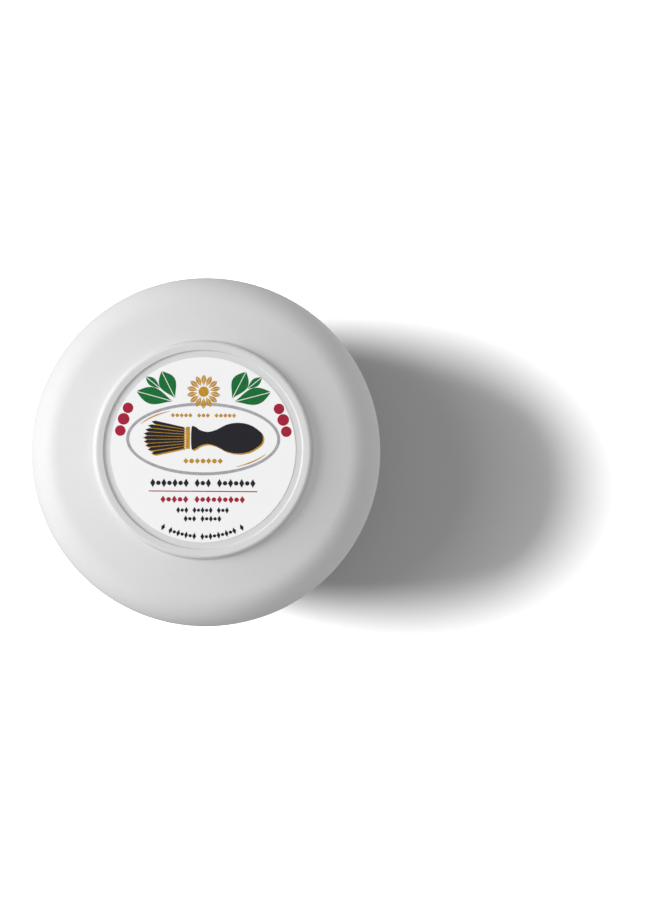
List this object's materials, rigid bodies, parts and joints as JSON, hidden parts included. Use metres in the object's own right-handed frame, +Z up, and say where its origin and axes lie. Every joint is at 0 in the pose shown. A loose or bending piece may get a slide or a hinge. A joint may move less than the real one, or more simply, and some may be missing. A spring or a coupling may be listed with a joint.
{
  "type": "shaving soap bowl",
  "caption": "Round double-walled bowl with a cake of shaving soap and a domed screw lid that carries a round label in a raised ring.",
  "frame": {"origin": "centre of the foot ring, on the surface that the bowl stands on", "axes": "+Z up along the bowl's axis; +Y is the label's upright direction; +X is to the label's right"},
  "size_m": [0.1, 0.1, 0.052],
  "materials": {
    "bowl_plastic": "satin white polypropylene",
    "cup_plastic": "satin white polypropylene",
    "soap": "waxy off-white hard soap",
    "base_label_film": "matt paper label",
    "seal_foam": "white closed-cell foam with a smooth film",
    "lid_plastic": "satin white polypropylene",
    "cap_plastic": "satin white polypropylene",
    "lid_label_film": "printed white film label"
  },
  "bodies": {
    "bowl": {"bowl_outer_shell": "bowl_plastic", "bowl_inner_cup": "cup_plastic", "soap_puck": "soap", "base_label": "base_label_film"},
    "sealing_disc": {"lid_sealing_disc": "seal_foam"},
    "lid": {"lid_outer_shell": "lid_plastic", "lid_inner_cap": "cap_plastic", "lid_label": "lid_label_film"}
  },
  "joints": [
    {"name": "lid_rise", "type": "slide", "parent": "bowl", "child": "sealing_disc", "axis": [0, 0, 1], "range_m": [0, 0.016]},
    {"name": "lid_turn", "type": "hinge", "parent": "sealing_disc", "child": "lid", "pos_m": [0, 0, 0.035], "axis": [0, 0, 1], "range_deg": [0, 720]}
  ],
  "couplings": [
    {"joint": "lid_rise", "follows": "lid_turn", "m_per_rad": 0.0012732}
  ]
}
